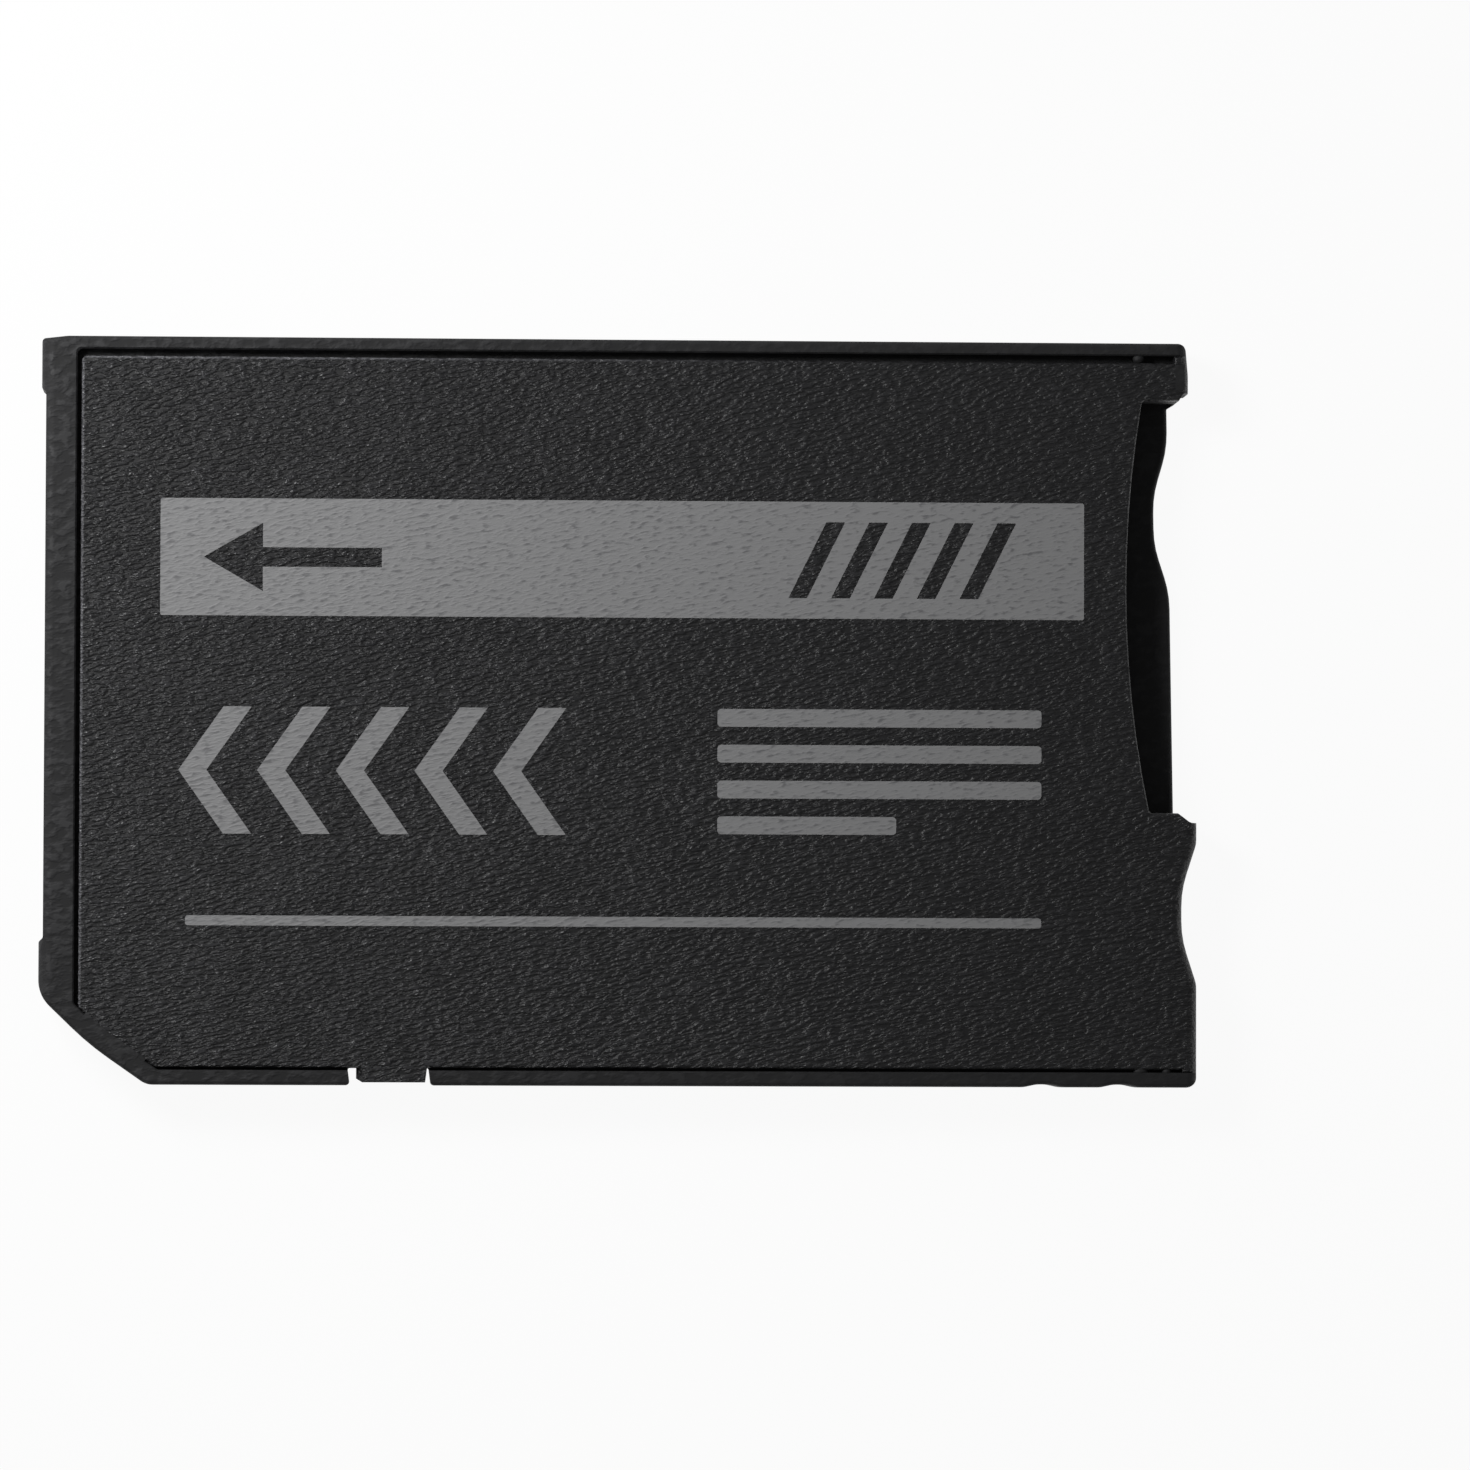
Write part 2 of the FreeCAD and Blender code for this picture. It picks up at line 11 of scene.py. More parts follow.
# %% Load the solids and keep their box
import math
import bpy
from mathutils import Euler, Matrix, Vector


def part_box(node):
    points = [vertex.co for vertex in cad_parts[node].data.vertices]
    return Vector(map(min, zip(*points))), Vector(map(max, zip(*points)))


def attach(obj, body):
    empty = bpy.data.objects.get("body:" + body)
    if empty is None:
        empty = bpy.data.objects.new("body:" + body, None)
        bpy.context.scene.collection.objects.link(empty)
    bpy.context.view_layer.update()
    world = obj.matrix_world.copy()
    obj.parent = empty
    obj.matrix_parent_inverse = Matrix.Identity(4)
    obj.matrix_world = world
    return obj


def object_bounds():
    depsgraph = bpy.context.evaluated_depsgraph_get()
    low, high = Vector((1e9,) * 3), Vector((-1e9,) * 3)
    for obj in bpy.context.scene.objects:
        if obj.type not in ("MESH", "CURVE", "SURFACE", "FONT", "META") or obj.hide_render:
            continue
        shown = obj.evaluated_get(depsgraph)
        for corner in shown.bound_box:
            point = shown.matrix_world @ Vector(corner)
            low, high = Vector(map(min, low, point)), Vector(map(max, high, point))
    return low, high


mm = 0.001
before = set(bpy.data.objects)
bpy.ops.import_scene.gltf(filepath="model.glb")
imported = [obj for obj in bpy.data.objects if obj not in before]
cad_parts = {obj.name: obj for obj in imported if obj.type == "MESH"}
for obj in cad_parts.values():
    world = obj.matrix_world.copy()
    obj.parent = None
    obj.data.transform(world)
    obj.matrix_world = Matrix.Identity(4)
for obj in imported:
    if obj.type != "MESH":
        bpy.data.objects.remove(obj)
cad_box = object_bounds()
body_size = cad_box[1] - cad_box[0]
top_z = cad_box[1].z
print("pieces loaded:", len(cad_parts))
print("size in mm:", [round(side / mm, 3) for side in body_size])

# %% [markdown]
# ## Small helpers
#
# The loaded solids stay selected, and an operator acts on all that is selected. So
# `start_fresh` clears the selection before anything new is modelled.
#
# Colours are written as the sRGB hex values that a screen shows. Shaders work on
# linear light, so `linear` turns the first into the second.
#
# A finish could be put together by hand in the shader editor. Here one function adds
# a node with its settings and its links, which says the same in a line or two. Four
# settings come back again and again, so they have a name each.

# %% Helpers for selecting, for colours and for nodes
smooth_ramp = {"interpolation_type": "SMOOTHSTEP"}
multiply = {"operation": "MULTIPLY"}
larger_one = {"operation": "MAXIMUM"}
colour_mix = {"data_type": "RGBA"}


def start_fresh():
    """Leave every object unselected, in object mode."""
    if bpy.context.object and bpy.context.object.mode != "OBJECT":
        bpy.ops.object.mode_set(mode="OBJECT")
    bpy.ops.object.select_all(action="DESELECT")


def linear(hex_colour):
    """Linear colour with full alpha from an sRGB hex value such as #8a8a8a."""
    channels = [int(hex_colour[place:place + 2], 16) / 255 for place in (1, 3, 5)]
    return [c / 12.92 if c <= 0.04045 else ((c + 0.055) / 1.055) ** 2.4 for c in channels] + [1]


def add_node(tree, kind, settings=None, links=None):
    """Add a node, set its properties or input values, and link its inputs to sockets or nodes."""
    node = tree.nodes.new(kind)
    for name, value in (settings or {}).items():
        if isinstance(name, str) and hasattr(node, name):
            setattr(node, name, value)
        else:
            node.inputs[name].default_value = value
    for name, source in (links or {}).items():
        socket = source.outputs[0] if isinstance(source, bpy.types.Node) else source
        tree.links.new(socket, node.inputs[name])
    return node


def new_material(name):
    """Empty node material and its tree, with an output and object coordinates in it."""
    material = bpy.data.materials.new(name)
    material.use_nodes = True
    tree = material.node_tree
    tree.nodes.clear()
    output = add_node(tree, "ShaderNodeOutputMaterial")
    place = add_node(tree, "ShaderNodeTexCoord").outputs["Object"]
    return material, tree, output, place


print("a mid grey in linear light:", round(linear("#808080")[0], 3))

# %% [markdown]
# ## The camera
#
# The photo looks straight down on the label face. A flat thing seen from far away
# has no visible sides, so a long lens at a good distance gives that look. The view
# is 39.4 mm wide and its middle lies a little towards the slot's mouth. The object is
# turned by a fraction of a degree. Its left end and its front side come out a little
# larger, because the camera leans 2.8 degrees to the left and 2.4 to the front.

# %% Place the camera
view_width = 39.36 * mm
view_middle = Vector((3.07 * mm, -0.60 * mm, top_z))
view_turn = math.radians(0.17)
lean_left = math.radians(2.8)
lean_front = math.radians(2.4)
lens_mm = 200
sensor_mm = 36
clip_ratio = 100

camera_data = bpy.data.cameras.new("product_camera")
camera_data.lens = lens_mm
camera_data.sensor_width = sensor_mm
camera_distance = view_width * lens_mm / sensor_mm
camera_data.clip_start = camera_distance / clip_ratio
camera_data.clip_end = camera_distance * clip_ratio
camera = bpy.data.objects.new("product_camera", camera_data)
aim = Euler((lean_front, -lean_left, view_turn))
camera.location = view_middle + aim.to_matrix() @ Vector((0, 0, camera_distance))
camera.rotation_euler = aim
bpy.context.scene.collection.objects.link(camera)
bpy.context.scene.camera = camera
print("camera distance in mm:", round(camera_distance / mm, 1))

# %% [markdown]
# ## Grain of the moulded plastic
#
# The steel mould of such a cover is etched with a fine leathery grain, which the
# plastic takes over: low ridges about 0.13 mm long and 0.04 mm wide that lean a
# little. It could be modelled, but thousands of ridges a few hundredths of a
# millimetre high are texture and not shape, so it is a bump. The noise is stretched
# along the ridges. One cell of it holds a ridge and a valley, so it is twice a
# ridge's size. The rim of the shell has a shallow, blotchy grain with wider cells.
# Near the mouth, where fingers hold the object, wear has left less than half of the
# grain's depth.
#
# The values of a noise go from 0 to 1 and lie mostly near the middle. A smooth ramp
# between two of them decides where a ridge starts and where it has its full height,
# and the finishes below pick their ridges in the same way.

# %% Build the grain as a bump
cover_grain = (0.26 * mm, 0.085 * mm)
rim_grain = (0.34 * mm, 0.22 * mm)
grain_lean = math.radians(10)
ridge_from, ridge_full = 0.38, 0.66
wear_starts_x = -9 * mm
wear_full_x = 10 * mm
share_left_at_mouth = 0.45


def left_by_wear(tree, place):
    """Share of the grain that wear has left: all of it at the left, less near the mouth."""
    axes = add_node(tree, "ShaderNodeSeparateXYZ", None, {0: place})
    return add_node(tree, "ShaderNodeMapRange", {
        **smooth_ramp, "From Min": wear_starts_x, "From Max": wear_full_x,
        "To Min": 1, "To Max": share_left_at_mouth,
    }, {"Value": axes.outputs["X"]})


def leather_grain(tree, place, unworn, cell, height):
    """Bump normal of a mould grain of such cells, and the height pattern behind it."""
    length, width = cell
    leaned = add_node(tree, "ShaderNodeMapping", {"Rotation": (0, 0, -grain_lean)}, {"Vector": place})
    stretched = add_node(tree, "ShaderNodeMapping", {
        "Scale": (1 / length, 1 / width, 1 / width),
    }, {"Vector": leaned})
    pattern = add_node(tree, "ShaderNodeTexNoise", {
        "Scale": 1.0, "Detail": 2.0, "Roughness": 0.5, "Distortion": 0.15,
    }, {"Vector": stretched}).outputs["Fac"]
    ridges = add_node(tree, "ShaderNodeMapRange", {
        **smooth_ramp, "From Min": ridge_from, "From Max": ridge_full,
    }, {"Value": pattern})
    worn_ridges = add_node(tree, "ShaderNodeMath", multiply, {0: ridges, 1: unworn})
    bump = add_node(tree, "ShaderNodeBump", {"Strength": 1.0, "Distance": height}, {"Height": worn_ridges})
    return bump.outputs["Normal"], pattern


print("grain cells a millimetre across:", round(mm / cover_grain[1], 1))

# %% [markdown]
# ## Grey ridges and a painted edge highlight
#
# Handling rubs the tops of the ridges greyer than the valleys, where the black stays
# deep, and it does so in patches a millimetre or so wide. The grey on the ridges is
# also a painted glint of their flanks. The thin grey line along the left and the back
# edge of the cover is a painted highlight of the edge's rounding, and it fades towards
# the right as the light from the left grows weaker. Both could be painted on by hand.
# Worked out from the grain and from the distance to an edge, they fit the ridges by
# themselves. The back edge is where the cover meets the groove. Past the groove's end
# the cover is a little wider, so its box doesn't give that edge.

# %% Find the grey ridges and the painted edge highlight
patch_size = 1.3 * mm
patch_from, patch_full, patch_least = 0.36, 0.60, 0.55
grey_from, grey_full = 0.40, 0.66
left_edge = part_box("top_cover")[0].x
back_edge = 9.47 * mm
highlight_full = 0.03 * mm
highlight_width = 0.09 * mm
highlight_fades_x = -12 * mm
highlight_gone_x = 8 * mm
highlight_from, highlight_solid, highlight_least = 0.30, 0.55, 0.25


def greyed_ridges(tree, place, grain):
    """Share of grey on the ridges, partly wear and partly painted glint, full in some patches and about
    half between them.
    """
    patches = add_node(tree, "ShaderNodeTexNoise", {
        "Scale": 1 / patch_size, "Detail": 3.0, "Roughness": 0.6,
    }, {"Vector": place})
    wear_and_glint_patches = add_node(tree, "ShaderNodeMapRange", {
        **smooth_ramp, "From Min": patch_from, "From Max": patch_full, "To Min": patch_least,
    }, {"Value": patches.outputs["Fac"]})
    ridges = add_node(tree, "ShaderNodeMapRange", {
        **smooth_ramp, "From Min": grey_from, "From Max": grey_full,
    }, {"Value": grain})
    return add_node(tree, "ShaderNodeMath", multiply, {0: ridges, 1: wear_and_glint_patches})


def painted_edge_highlight(tree, place, grain):
    """Share of painted highlight along the cover's left and back edge, less towards the right where the
    light is weaker.
    """
    axes = add_node(tree, "ShaderNodeSeparateXYZ", None, {0: place})
    near_left = add_node(tree, "ShaderNodeMapRange", {
        **smooth_ramp, "From Min": left_edge + highlight_full, "From Max": left_edge + highlight_width,
        "To Min": 1, "To Max": 0,
    }, {"Value": axes.outputs["X"]})
    near_back = add_node(tree, "ShaderNodeMapRange", {
        **smooth_ramp, "From Min": back_edge - highlight_width, "From Max": back_edge - highlight_full,
    }, {"Value": axes.outputs["Y"]})
    near_either = add_node(tree, "ShaderNodeMath", larger_one, {0: near_left, 1: near_back})
    lessening = add_node(tree, "ShaderNodeMapRange", {
        **smooth_ramp, "From Min": highlight_fades_x, "From Max": highlight_gone_x, "To Min": 1, "To Max": 0,
    }, {"Value": axes.outputs["X"]})
    broken_up = add_node(tree, "ShaderNodeMapRange", {
        **smooth_ramp, "From Min": highlight_from, "From Max": highlight_solid, "To Min": highlight_least,
    }, {"Value": grain})
    faded = add_node(tree, "ShaderNodeMath", multiply, {0: near_either, 1: lessening})
    return add_node(tree, "ShaderNodeMath", multiply, {0: faded, 1: broken_up})


# The line here is a painted highlight along the cover's edge.
print("rubbed line in mm:", round(highlight_width / mm, 3), "from the edge at x", round(left_edge / mm, 2))

# %% [markdown]
# ## Moulded plastics
#
# The shell and the cover are a black engineering plastic such as ABS, injection
# moulded. Its index of refraction is about 1.54. It is nearly black by itself, and
# the grey that the eye sees is a broad, dull reflection. The ridges of the cover are
# polished by handling, so they are glossier than its valleys, and less so where the
# grain is worn. The rim of the shell came from smoother steel, with a duller and
# more even face. The carrier of the springs is glass-filled PBT, and the chip is
# moulded epoxy. Both lie inside, out of reach of fingers, and are hardly grained.

# %% Make the moulded plastics
polish_from, polish_full = 0.52, 0.66


def moulded_plastic(name, colours, roughnesses, cell, grain_height, ior, edge_highlight=None):
    """Injection-moulded plastic, with a colour and a roughness each for valleys and ridges."""
    valley_colour, ridge_colour = colours
    valley_roughness, ridge_roughness = roughnesses
    material, tree, output, place = new_material(name)
    unworn = left_by_wear(tree, place)
    normal, grain = leather_grain(tree, place, unworn, cell, grain_height)
    # The grey on the ridges is partly wear and partly a painted glint, and it weakens towards the mouth
    # with the grain.
    greyed = add_node(tree, "ShaderNodeMath", multiply, {
        0: greyed_ridges(tree, place, grain), 1: unworn,
    })
    colour = add_node(tree, "ShaderNodeMix", {
        **colour_mix, 6: linear(valley_colour), 7: linear(ridge_colour),
    }, {0: greyed}).outputs[2]
    # Painted highlight: a lighter line along the cover's left and back edge.
    if edge_highlight:
        colour = add_node(tree, "ShaderNodeMix", {**colour_mix, 7: linear(edge_highlight)}, {
            0: painted_edge_highlight(tree, place, grain), 6: colour,
        }).outputs[2]
    ridges = add_node(tree, "ShaderNodeMapRange", {
        **smooth_ramp, "From Min": polish_from, "From Max": polish_full,
    }, {"Value": grain})
    polished = add_node(tree, "ShaderNodeMath", multiply, {0: ridges, 1: unworn})
    roughness = add_node(tree, "ShaderNodeMapRange", {
        **smooth_ramp, "To Min": valley_roughness, "To Max": ridge_roughness,
    }, {"Value": polished})
    shader = add_node(tree, "ShaderNodeBsdfPrincipled", {"IOR": ior}, {
        "Base Color": colour, "Roughness": roughness, "Normal": normal,
    })
    tree.links.new(shader.outputs[0], output.inputs["Surface"])
    return material


# The cover's ridge grey #363638 is partly a painted glint, and the light grey #707074 is a painted
# highlight along its left and back edge.
cover_abs = moulded_plastic(
    "grained_black_abs", colours=("#111113", "#363638"), roughnesses=(0.48, 0.25),
    cell=cover_grain, grain_height=0.054 * mm, ior=1.54, edge_highlight="#707074",
)
shell_abs = moulded_plastic(
    "fine_black_abs", colours=("#101012", "#242426"), roughnesses=(0.72, 0.62),
    cell=rim_grain, grain_height=0.014 * mm, ior=1.54,
)
carrier_pbt = moulded_plastic(
    "glass_filled_black_pbt", colours=("#1a1a1c", "#202022"), roughnesses=(0.58, 0.52),
    cell=rim_grain, grain_height=0.006 * mm, ior=1.57,
)
chip_epoxy = moulded_plastic(
    "moulded_black_epoxy", colours=("#161618", "#1a1a1c"), roughnesses=(0.62, 0.58),
    cell=rim_grain, grain_height=0.003 * mm, ior=1.57,
)
print("plastics made:", [m.name for m in (cover_abs, shell_abs, carrier_pbt, chip_epoxy)])

# %% [markdown]
# ## Gold on the contacts
#
# The pads and springs are copper alloy under a thin gold plate. A metal has no
# colour under its gloss: its base colour is the tint of its reflection. Rolling and
# stamping leave fine lines along the strip. They are far too fine to model, so a
# noise that is stretched along X varies the roughness and adds a very low bump. The
# real lines are finer still, and these are drawn as coarse as they need to show.

# %% Make the metals
def plated_metal(name, colour, roughness, line_length, line_width):
    """Plated metal with fine drawing lines along X."""
    smoother_by, rougher_by = 0.06, 0.10
    material, tree, output, place = new_material(name)
    stretched = add_node(tree, "ShaderNodeMapping", {
        "Scale": (1 / line_length, 1 / line_width, 1 / line_width),
    }, {"Vector": place})
    lines = add_node(tree, "ShaderNodeTexNoise", {
        "Scale": 1.0, "Detail": 3.0, "Roughness": 0.6,
    }, {"Vector": stretched}).outputs["Fac"]
    dulled = add_node(tree, "ShaderNodeMapRange", {
        "To Min": roughness - smoother_by, "To Max": roughness + rougher_by,
    }, {"Value": lines})
    bump = add_node(tree, "ShaderNodeBump", {
        "Strength": 0.4, "Distance": 0.001 * mm,
    }, {"Height": lines})
    shader = add_node(tree, "ShaderNodeBsdfPrincipled", {
        "Base Color": linear(colour), "Metallic": 1.0,
    }, {"Roughness": dulled, "Normal": bump})
    tree.links.new(shader.outputs[0], output.inputs["Surface"])
    return material


pad_gold = plated_metal(
    "hard_gold_plate", colour="#e6c27a", roughness=0.22, line_length=0.9 * mm, line_width=0.03 * mm,
)
spring_gold = plated_metal(
    "gold_flashed_spring", colour="#e2bd78", roughness=0.26, line_length=0.6 * mm, line_width=0.02 * mm,
)
print("metals made:", [m.name for m in (pad_gold, spring_gold)])

# %% [markdown]
# ## Board and ceramics
#
# The board is glass-epoxy laminate under green solder resist. The parts on it are
# fired ceramic. All of them are one colour from afar and finely mottled from close
# by, so a second colour comes in as flecks, and the gloss varies with the same noise.
# The grain of a real ceramic is finer, and its flecks are drawn coarser to show.

# %% Make the board and the ceramics
def speckled_solid(name, colour, fleck_colour, fleck_size, roughness, ior):
    """Solid with flecks of a second colour and a slightly uneven gloss."""
    fleck_from, fleck_full = 0.45, 0.70
    smoother_by, rougher_by = 0.05, 0.08
    material, tree, output, place = new_material(name)
    flecks = add_node(tree, "ShaderNodeTexNoise", {
        "Scale": 1 / fleck_size, "Detail": 2.0,
    }, {"Vector": place}).outputs["Fac"]
    picked = add_node(tree, "ShaderNodeMapRange", {
        "From Min": fleck_from, "From Max": fleck_full,
    }, {"Value": flecks})
    tint = add_node(tree, "ShaderNodeMix", {
        **colour_mix, 6: linear(colour), 7: linear(fleck_colour),
    }, {0: picked})
    dulled = add_node(tree, "ShaderNodeMapRange", {
        "To Min": roughness - smoother_by, "To Max": roughness + rougher_by,
    }, {"Value": flecks})
    shader = add_node(tree, "ShaderNodeBsdfPrincipled", {"IOR": ior}, {
        "Base Color": tint.outputs[2], "Roughness": dulled,
    })
    tree.links.new(shader.outputs[0], output.inputs["Surface"])
    return material


board_laminate = speckled_solid(
    "solder_resist_on_laminate", colour="#1c5a2e", fleck_colour="#2c6f3a",
    fleck_size=0.4 * mm, roughness=0.30, ior=1.52,
)
capacitor_ceramic = speckled_solid(
    "fired_brown_ceramic", colour="#9a7a58", fleck_colour="#86684a",
    fleck_size=0.08 * mm, roughness=0.45, ior=1.65,
)
resistor_ceramic = speckled_solid(
    "glazed_black_ceramic", colour="#1e1e22", fleck_colour="#2a2a2e",
    fleck_size=0.08 * mm, roughness=0.30, ior=1.60,
)
print("materials so far:", len(bpy.data.materials))

# %% [markdown]
# ## Dress the solids
#
# A loaded solid keeps its mesh. Only the material in its slot changes, picked by
# what the piece's name starts with.

# %% Give every loaded piece its material
finishes = {
    "top_cover": cover_abs,
    "bottom_shell": shell_abs,
    "contact_carrier": carrier_pbt,
    "controller_chip": chip_epoxy,
    "circuit_board": board_laminate,
    "capacitor": capacitor_ceramic,
    "resistor": resistor_ceramic,
    "host_contact": pad_gold,
    "card_spring": spring_gold,
}
for name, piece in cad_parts.items():
    material = next(finishes[start] for start in finishes if name.startswith(start))
    piece.data.materials.clear()
    piece.data.materials.append(material)
print("dressed:", len(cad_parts))

# %% [markdown]
# ## The ink
#
# The label is pad-printed in one light grey ink, straight onto the grain. The ink
# is a film of about a hundredth of a millimetre. It follows the grain softly, and it
# is rubbed thin on the highest ridges, where the black comes through as short dark
# dashes. So it takes its bump and its dashes from the same grain as the cover.

# %% Make the ink
ink_film = 0.008 * mm
ink_base = top_z - 0.002 * mm
thin_from, thin_full = 0.52, 0.74


def pad_print_ink(name, colour, thin_colour, grain_height):
    """Matt ink film that follows the grain below it and is thin on the highest ridges."""
    material, tree, output, place = new_material(name)
    normal, grain = leather_grain(tree, place, left_by_wear(tree, place), cover_grain, grain_height)
    rubbed_thin = add_node(tree, "ShaderNodeMapRange", {
        **smooth_ramp, "From Min": thin_from, "From Max": thin_full,
    }, {"Value": grain})
    tint = add_node(tree, "ShaderNodeMix", {
        **colour_mix, 6: linear(colour), 7: linear(thin_colour),
    }, {0: rubbed_thin})
    shader = add_node(tree, "ShaderNodeBsdfPrincipled", {
        "Roughness": 0.62, "IOR": 1.50,
    }, {"Base Color": tint.outputs[2], "Normal": normal})
    tree.links.new(shader.outputs[0], output.inputs["Surface"])
    return material


label_ink = pad_print_ink(
    "pad_print_ink", colour="#8c8c8d", thin_colour="#6a6a6c", grain_height=0.008 * mm,
)
print("the ink stands above the cover by mm:", round((ink_base + ink_film - top_z) / mm, 4))

# %% [markdown]
# ## The print
#
# Each mark could be painted into the cover's material. It is modelled as a real thin
# film instead, so that its edge is crisp from close by: a flat plane is cut to shape
# and then extruded. The sides of a plane are given in millimetres, as they would be
# read from a ruler.

# %% Helpers that shape a flat mark
def make_active(piece):
    """Select one piece alone and make it the one that operators act on."""
    start_fresh()
    piece.select_set(True)
    bpy.context.view_layer.objects.active = piece


def flat_plate(name, low_x, high_x, low_y, high_y, z):
    """Flat rectangle between four sides given in millimetres, at height z."""
    start_fresh()
    bpy.ops.mesh.primitive_plane_add(size=1)
    plate = bpy.context.object
    plate.name = name
    plate.scale = ((high_x - low_x) * mm, (high_y - low_y) * mm, 1)
    plate.location = ((low_x + high_x) / 2 * mm, (low_y + high_y) / 2 * mm, z)
    bpy.ops.object.transform_apply(location=True, rotation=True, scale=True)
    return plate


def round_corners(plate, radius):
    """Round the corners of a flat plate."""
    make_active(plate)
    bpy.ops.object.mode_set(mode="EDIT")
    bpy.ops.mesh.select_all(action="SELECT")
    bpy.ops.mesh.bevel(offset=radius, segments=4, affect="VERTICES")
    bpy.ops.object.mode_set(mode="OBJECT")


def point_left(plate, reach):
    """Cut a plate along its middle and push that cut towards -X, which makes a chevron."""
    near_enough = 0.001 * mm
    middle_y = sum(vertex.co.y for vertex in plate.data.vertices) / len(plate.data.vertices)
    height = plate.data.vertices[0].co.z
    make_active(plate)
    bpy.ops.object.mode_set(mode="EDIT")
    bpy.ops.mesh.select_all(action="SELECT")
    bpy.ops.mesh.bisect(plane_co=(0, middle_y, height), plane_no=(0, 1, 0))
    bpy.ops.object.mode_set(mode="OBJECT")
    for vertex in plate.data.vertices:
        vertex.select = abs(vertex.co.y - middle_y) < near_enough
    bpy.ops.object.mode_set(mode="EDIT")
    bpy.ops.mesh.select_mode(type="VERT")
    bpy.ops.transform.translate(value=(-reach, 0, 0))
    bpy.ops.object.mode_set(mode="OBJECT")


def raise_film(plate, height):
    """Extrude a flat plate upwards into a closed film."""
    make_active(plate)
    bpy.ops.object.mode_set(mode="EDIT")
    bpy.ops.mesh.select_all(action="SELECT")
    bpy.ops.mesh.extrude_region_move(TRANSFORM_OT_translate={"value": (0, 0, height)})
    bpy.ops.mesh.select_all(action="SELECT")
    bpy.ops.mesh.normals_make_consistent(inside=False)
    bpy.ops.object.mode_set(mode="OBJECT")


print("ink film in mm:", round(ink_film / mm, 4))

# %% [markdown]
# ### Copies, cuts and the last step of a piece
#
# A mark that repeats is modelled once and copied, and each copy has its own mesh. The
# copies of one mark are joined, because they were printed in one stroke. A shape that
# stays free of ink is taken out with a boolean.
#
# Every new piece ends in the same way: it gets its material and the body that carries
# it.

# %% Helpers that copy, join, cut and finish
def shift_copy(piece, shift_x, shift_y):
    """Copy of a piece with its own mesh, moved by so many millimetres."""
    copy = piece.copy()
    copy.data = piece.data.copy()
    bpy.context.scene.collection.objects.link(copy)
    for vertex in copy.data.vertices:
        vertex.co += Vector((shift_x * mm, shift_y * mm, 0))
    return copy


def join_pieces(name, pieces):
    """Join several pieces into the first one under a new name."""
    make_active(pieces[0])
    for piece in pieces[1:]:
        piece.select_set(True)
    bpy.ops.object.join()
    pieces[0].name = name
    return pieces[0]


def cut_out(piece, cutters):
    """Take the cutters' shapes out of a piece and delete the cutters."""
    for cutter in cutters:
        taken = piece.modifiers.new("cut", "BOOLEAN")
        taken.operation = "DIFFERENCE"
        taken.solver = "EXACT"
        taken.object = cutter
        make_active(piece)
        bpy.ops.object.modifier_apply(modifier=taken.name)
        bpy.data.objects.remove(cutter)


def finish_piece(piece, material):
    """Give a new piece its material and the body it rides on."""
    piece.data.materials.clear()
    piece.data.materials.append(material)
    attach(piece, "root")
    print(piece.name, "faces:", len(piece.data.polygons))


# %% [markdown]
# ### The bar
#
# A broad bar crosses the plate, 24.75 mm long and 3.14 mm high. A plain arrow, which
# shows the end that goes in first, and five slanted stripes are left free of ink, so
# the black plastic shows in their shape. They are cutters taller than the film, taken
# out with a boolean.

# %% Print the bar with its bare marks
bar_left, bar_right = -12.31, 12.44
bar_low, bar_high = 2.53, 5.67
bar_middle = (bar_low + bar_high) / 2
bar_corner = 0.06
cutter_height = 4 * ink_film
cutter_base = ink_base - 1.5 * ink_film
shaft_left, shaft_right, shaft_half = -9.6, -6.4, 0.26
head_x, head_radius = -10.1, 1.05
slant_left, slant_right, slant_pitch = 5.0, 5.5, 1.15
slant_margin, slant_lean = 0.55, 0.5
slant_count = 5

bar = flat_plate("printed_bar", bar_left, bar_right, bar_low, bar_high, ink_base)
round_corners(bar, bar_corner * mm)
raise_film(bar, ink_film)

shaft = flat_plate(
    "arrow_shaft", shaft_left, shaft_right, bar_middle - shaft_half, bar_middle + shaft_half, cutter_base,
)
raise_film(shaft, cutter_height)
start_fresh()
bpy.ops.mesh.primitive_cylinder_add(vertices=3, radius=head_radius * mm, depth=cutter_height)
head = bpy.context.object
head.location = (head_x * mm, bar_middle * mm, cutter_base + cutter_height / 2)
head.rotation_euler = (0, 0, math.radians(90))
bpy.ops.object.transform_apply(location=True, rotation=True, scale=True)

slanted = flat_plate(
    "slanted_stripe", slant_left, slant_right, bar_low + slant_margin, bar_high - slant_margin, cutter_base,
)
for vertex in slanted.data.vertices:
    vertex.co.x += (vertex.co.y - bar_middle * mm) * slant_lean
raise_film(slanted, cutter_height)
slants = [slanted] + [shift_copy(slanted, slant_pitch * step, 0) for step in range(1, slant_count)]
cut_out(bar, [shaft, head] + slants)
finish_piece(bar, label_ink)

# %% [markdown]
# ### Chevrons, stripes and a line
#
# A chevron starts as an upright plate that is cut along its middle. Pushing that
# cut sideways bends the plate into an arrowhead. One is modelled and then copied, and
# the five point the same way as the arrow. The stripes and the line are plates with
# rounded corners.

# %% Print the marks below the bar
marks_top = 0.1
chevron_left, chevron_right, chevron_low = -10.6, -9.85, -3.3
chevron_reach, chevron_pitch = 1.2, 2.1
chevron_count = 5
stripe_left, stripe_height, stripe_pitch = 2.6, 0.48, 0.96
stripe_corner = 0.10
stripe_ends = [11.3, 11.3, 11.3, 7.4]
line_left, line_right = -11.6, 11.3
line_low, line_high = -5.75, -5.48
line_corner = 0.08

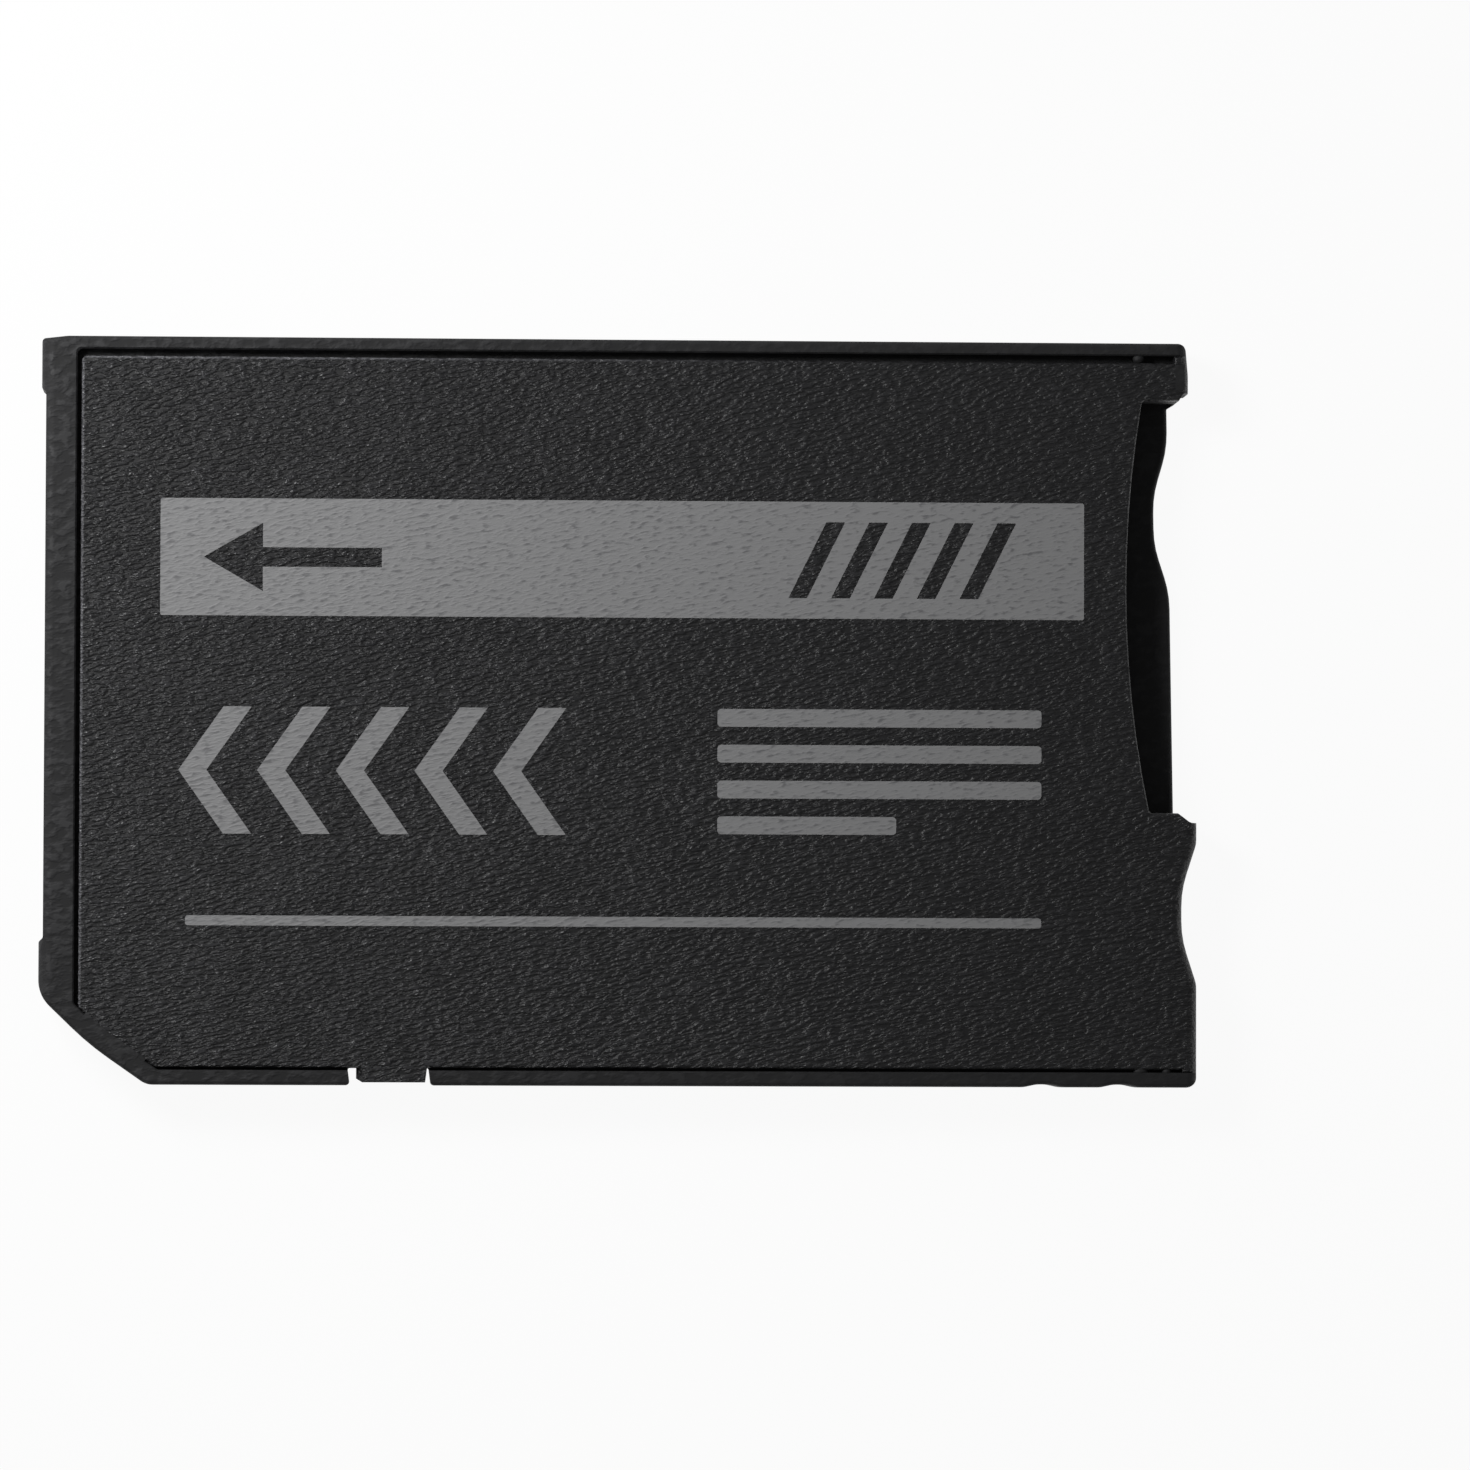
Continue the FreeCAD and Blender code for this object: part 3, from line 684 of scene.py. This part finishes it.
chevron = flat_plate("chevron", chevron_left, chevron_right, chevron_low, marks_top, ink_base)
point_left(chevron, chevron_reach * mm)
raise_film(chevron, ink_film)
chevrons = [chevron] + [shift_copy(chevron, chevron_pitch * step, 0) for step in range(1, chevron_count)]
finish_piece(join_pieces("printed_chevrons", chevrons), label_ink)

stripes = []
for step, end in enumerate(stripe_ends):
    high = marks_top - stripe_pitch * step
    stripe = flat_plate("stripe", stripe_left, end, high - stripe_height, high, ink_base)
    round_corners(stripe, stripe_corner * mm)
    raise_film(stripe, ink_film)
    stripes.append(stripe)
finish_piece(join_pieces("printed_stripes", stripes), label_ink)

line = flat_plate("printed_line", line_left, line_right, line_low, line_high, ink_base)
round_corners(line, line_corner * mm)
raise_film(line, ink_film)
finish_piece(line, label_ink)

# %% [markdown]
# ## Weld marks
#
# The cover is welded to the shell all round. In three places near the mouth a bead
# of melted plastic has come up in the groove between them. A bead is a small ball, a
# little stretched, that sinks into both walls of the groove and stays below the rim's
# top. Along the slanted corner the groove is filled almost flush, so two flat strips
# lie there. A third strip is the bare end of the ear behind the slot, where the grain
# stops.

# %% Set the beads and strips of melted plastic
bead_height = 0.30
bead_sunk = 0.01
strip_thickness = 0.10


def weld_bead(name, x, y, size_x, size_y):
    """Ball 1 mm across, scaled to its size in the groove, with its top just below the rim."""
    start_fresh()
    bpy.ops.mesh.primitive_uv_sphere_add(segments=24, ring_count=12, radius=mm / 2)
    bead = bpy.context.object
    bead.name = name
    bead.scale = (size_x, size_y, bead_height)
    bead.location = (x * mm, y * mm, top_z - (bead_height / 2 + bead_sunk) * mm)
    bpy.ops.object.transform_apply(location=True, rotation=True, scale=True)
    bpy.ops.object.shade_smooth()
    finish_piece(bead, shell_abs)


def weld_strip(name, start, end, width, sunk):
    """Flat strip between two places, its top so far below the rim, or above it if sunk is negative."""
    run = Vector(end) - Vector(start)
    middle = (Vector(end) + Vector(start)) / 2
    start_fresh()
    bpy.ops.mesh.primitive_cube_add(size=1)
    strip = bpy.context.object
    strip.name = name
    strip.scale = (run.length * mm, width * mm, strip_thickness * mm)
    strip.rotation_euler = (0, 0, math.atan2(run.y, run.x))
    strip.location = (middle.x * mm, middle.y * mm, top_z - (strip_thickness / 2 + sunk) * mm)
    bpy.ops.object.transform_apply(location=True, rotation=True, scale=True)
    finish_piece(strip, shell_abs)


weld_bead("weld_bead_back", x=13.92, y=9.60, size_x=0.32, size_y=0.30)
weld_bead("weld_bead_front_1", x=13.99, y=-9.57, size_x=0.40, size_y=0.26)
weld_bead("weld_bead_front_2", x=14.69, y=-9.57, size_x=0.26, size_y=0.24)
weld_strip("weld_strip_upper", start=(-14.25, -8.12), end=(-13.80, -8.56), width=0.20, sunk=0.004)
weld_strip("weld_strip_lower", start=(-13.88, -8.50), end=(-12.65, -9.36), width=0.20, sunk=0.007)
weld_strip("smooth_ear_end", start=(15.015, 9.43), end=(15.03, 8.74), width=0.25, sunk=-0.004)

# %% [markdown]
# ## The white sheet
#
# The table is a plain white sheet. A camera ray sees it almost at full white, and
# the small rest is its real lit surface, so that the object's soft shadow stays.
# Glossy and transmitted rays see the same white.
#
# The sheet's rim curves up all round, as paper does against a wall, so that a low
# view has no horizon. A ring is extruded inwards and down along the curve, and the
# last ring is filled to make the flat middle.

# %% Lay the white sheet
white_share = 0.94
flat_radius = 1200 * mm
rim_height = 160 * mm
rim_steps = 8
ring_points = 96
sheet_z = cad_box[0].z - 0.01 * mm


def white_sheet_material():
    """White sheet that shows its own soft shadow under a nearly white ground."""
    material, tree, output, _ = new_material("white_sheet")
    path = add_node(tree, "ShaderNodeLightPath")
    seen_or_glossy = add_node(tree, "ShaderNodeMath", larger_one, {
        0: path.outputs["Is Camera Ray"], 1: path.outputs["Is Glossy Ray"],
    })
    any_of_three = add_node(tree, "ShaderNodeMath", larger_one, {
        0: seen_or_glossy, 1: path.outputs["Is Transmission Ray"],
    })
    share = add_node(tree, "ShaderNodeMath", {**multiply, 1: white_share}, {0: any_of_three})
    lit = add_node(tree, "ShaderNodeBsdfDiffuse", {"Color": linear("#f4f4f4")})
    white = add_node(tree, "ShaderNodeEmission", {"Color": (1, 1, 1, 1), "Strength": 1.0})
    mixed = add_node(tree, "ShaderNodeMixShader", None, {0: share, 1: lit, 2: white})
    tree.links.new(mixed.outputs[0], output.inputs["Surface"])
    return material


turns = [math.radians(90) * (1 - step / rim_steps) for step in range(rim_steps + 1)]
radii = [flat_radius + rim_height * math.sin(turn) for turn in turns]
heights = [rim_height * (1 - math.cos(turn)) for turn in turns]

start_fresh()
bpy.ops.mesh.primitive_circle_add(
    vertices=ring_points, radius=radii[0], location=(0, 0, sheet_z + heights[0]),
)
table = bpy.context.object
table.name = "white_table"
bpy.ops.object.transform_apply(location=True, rotation=True, scale=True)
bpy.ops.object.mode_set(mode="EDIT")
bpy.ops.mesh.select_all(action="SELECT")
for step in range(rim_steps):
    drop = heights[step + 1] - heights[step]
    narrower = radii[step + 1] / radii[step]
    bpy.ops.mesh.extrude_region_move(TRANSFORM_OT_translate={"value": (0, 0, drop)})
    bpy.ops.transform.resize(value=(narrower, narrower, 1), center_override=(0, 0, 0))
bpy.ops.mesh.edge_face_add()
bpy.ops.object.mode_set(mode="OBJECT")
bpy.ops.object.shade_smooth_by_angle(angle=math.radians(30))
table.data.materials.append(white_sheet_material())
print("faces of the sheet:", len(table.data.polygons))

# %% [markdown]
# ## The light
#
# In the photo the left side of the plate is lighter than the right. A small soft box
# close above the left back gives that fall in brightness, because its distance grows
# quickly across the plate. A large weak one on the right softens the grain there, and
# a dim even sky lifts the deepest black a little.

# %% Hang the lights
sky_strength = 0.12


def soft_box(name, place_mm, side_mm, watts):
    """Square area light that faces the middle of the object."""
    data = bpy.data.lights.new(name, "AREA")
    data.shape = "SQUARE"
    data.size = side_mm * mm
    data.energy = watts
    box = bpy.data.objects.new(name, data)
    box.location = Vector(place_mm) * mm
    box.rotation_euler = (-box.location).to_track_quat("-Z", "Y").to_euler()
    bpy.context.scene.collection.objects.link(box)
    print(name, "hangs so many mm away:", round(box.location.length / mm))


soft_box("left_soft_box", place_mm=(-40, 31, 49), side_mm=26, watts=0.0385)
soft_box("right_soft_box", place_mm=(200, -60, 200), side_mm=380, watts=0.014)

world = bpy.data.worlds.new("even_sky")
bpy.context.scene.world = world
world.use_nodes = True
sky = world.node_tree
sky.nodes.clear()
dim_sky = add_node(sky, "ShaderNodeBackground", {"Color": (1, 1, 1, 1), "Strength": sky_strength})
add_node(sky, "ShaderNodeOutputWorld", None, {"Surface": dim_sky})
bpy.context.scene.view_settings.view_transform = "Standard"

# %% [markdown]
# ## Finish
#
# The finished model has to stay in the box of the solids, apart from the film of
# ink.

# %% Finish
start_fresh()
